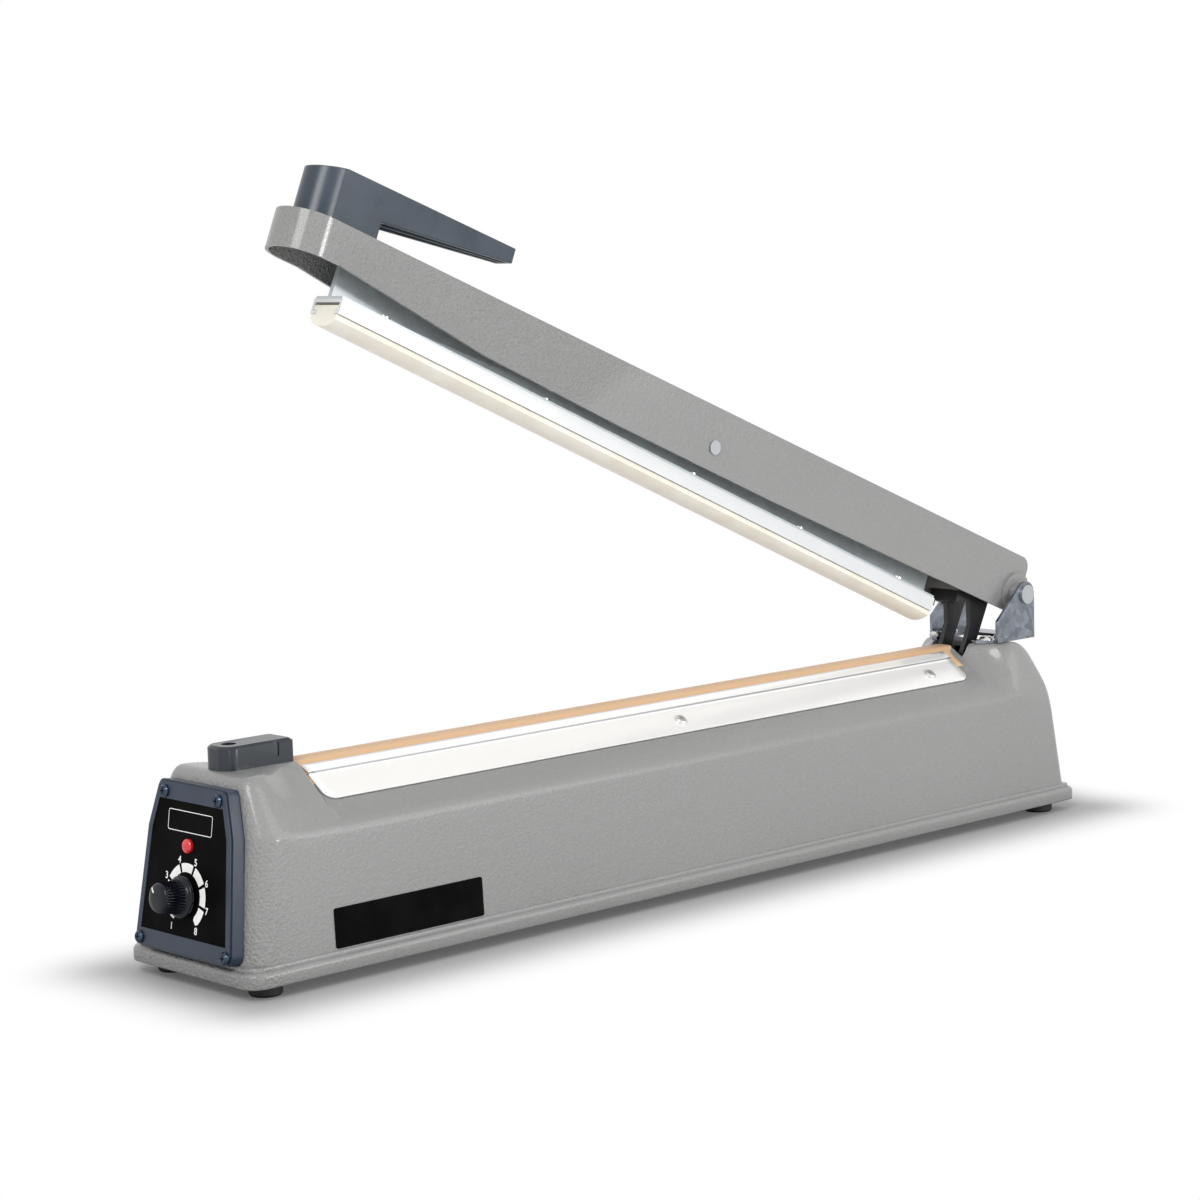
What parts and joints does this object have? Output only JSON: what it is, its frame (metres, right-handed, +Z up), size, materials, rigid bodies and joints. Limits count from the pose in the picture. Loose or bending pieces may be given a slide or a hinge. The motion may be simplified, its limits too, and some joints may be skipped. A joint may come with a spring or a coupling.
{
  "type": "impulse sealer",
  "caption": "Hand impulse sealer: long hollow casing with a heating strip on its ridge, a dial panel, and a hinged sprung arm with a pressure bar.",
  "frame": {"origin": "centre of the bounding box at the level of the table under the rubber feet, arm at rest in its raised position", "axes": "+X along the casing from the dial end to the hinge end, +Z up, -Y the long side nearest the picture's camera"},
  "size_m": [0.5158, 0.085, 0.3185],
  "materials": {
    "grey_paint": "hammered grey enamel with an orange-peel texture, satin",
    "plate_steel": "zinc-plated sheet",
    "foot_rubber": "matt",
    "screw_steel": "bright zinc plating",
    "black_moulding": "fine-grained satin, blue-black",
    "label_film": "smooth printed film",
    "red_lens": "clear red lens",
    "brass_parts": "plain",
    "knob_plastic": "semi-gloss, fluted",
    "board_green": "solder-masked laminate",
    "board_blue": "moulded cases",
    "nylon": "natural nylon",
    "glass_tape": "woven glass tape",
    "element_alloy": "flat resistance ribbon",
    "tan_cloth": "non-stick coated glass cloth, smooth",
    "polished_trim": "polished",
    "zinc_steel": "bright galvanised",
    "core_iron": "varnished laminations",
    "coil_tape": "wound wire under film tape",
    "switch_plastic": "black moulding",
    "spring_steel": "oiled spring wire",
    "fork_black": "black, satin",
    "white_aluminium": "anodised white-silver extrusion",
    "cream_silicone": "smooth cream silicone"
  },
  "bodies": {
    "base": {"casing": "grey_paint", "bottom_plate": "plate_steel", "rubber_feet": "foot_rubber", "foot_screws": "screw_steel", "bezel": "black_moulding", "bezel_screws": "screw_steel", "dial_label": "label_film", "side_label": "label_film", "indicator_lamp": "red_lens", "potentiometer": "brass_parts", "timer_board": "board_green", "board_parts": "board_blue", "board_standoffs": "nylon", "terminal_block": "black_moulding", "block_screw": "screw_steel", "insulating_strip": "glass_tape", "heating_element": "element_alloy", "element_terminals": "brass_parts", "seal_cover": "tan_cloth", "near_trim": "polished_trim", "far_trim": "polished_trim", "trim_screws": "screw_steel", "hinge_bracket": "zinc_steel", "bracket_screws": "screw_steel", "hinge_pin": "screw_steel", "transformer_core": "core_iron", "transformer_coil": "coil_tape", "transformer_strap": "zinc_steel", "strap_screws": "screw_steel", "switch_body": "switch_plastic", "switch_bracket": "zinc_steel", "switch_screws": "screw_steel", "cord_inlet": "switch_plastic", "anchor_pin": "screw_steel", "return_spring": "spring_steel"},
    "arm": {"arm": "grey_paint", "handle": "black_moulding", "handle_screws": "screw_steel", "spring_fork": "fork_black", "fork_bracket": "grey_paint", "fork_pin": "screw_steel", "rocker_pin": "screw_steel"},
    "press_bar": {"bar_channel": "zinc_steel", "rubber_holder": "white_aluminium", "sealing_rubber": "cream_silicone", "bar_rivets": "screw_steel"},
    "knob": {"dial_knob": "knob_plastic", "knob_shaft": "screw_steel"},
    "plunger": {"switch_plunger": "nylon"}
  },
  "joints": [
    {"name": "arm_hinge", "type": "hinge", "parent": "base", "child": "arm", "pos_m": [0.24637, 0, 0.10595], "axis": [0, -1, 0], "range_deg": [0, 21.68], "stiffness_Nm_per_rad": 4, "springref_deg": -37.24, "deforming": ["return_spring"]},
    {"name": "press_bar_rock", "type": "hinge", "parent": "arm", "child": "press_bar", "pos_m": [0.04073, 0, 0.19221], "axis": [0, -1, 0], "range_deg": [0, 2.33]},
    {"name": "timer_knob_turn", "type": "hinge", "parent": "base", "child": "knob", "pos_m": [-0.23551, 0, 0.03569], "axis": [-0.9912, 0, 0.1323], "range_deg": [-195, 105]},
    {"name": "microswitch_plunger", "type": "slide", "parent": "base", "child": "plunger", "axis": [1, 0, 0], "range_m": [0, 0.0008], "stiffness_N_per_m": 150, "springref_m": -0.0005}
  ],
  "couplings": [
    {"joint": "press_bar_rock", "follows": "arm_hinge", "ratio": 0.10712}
  ]
}
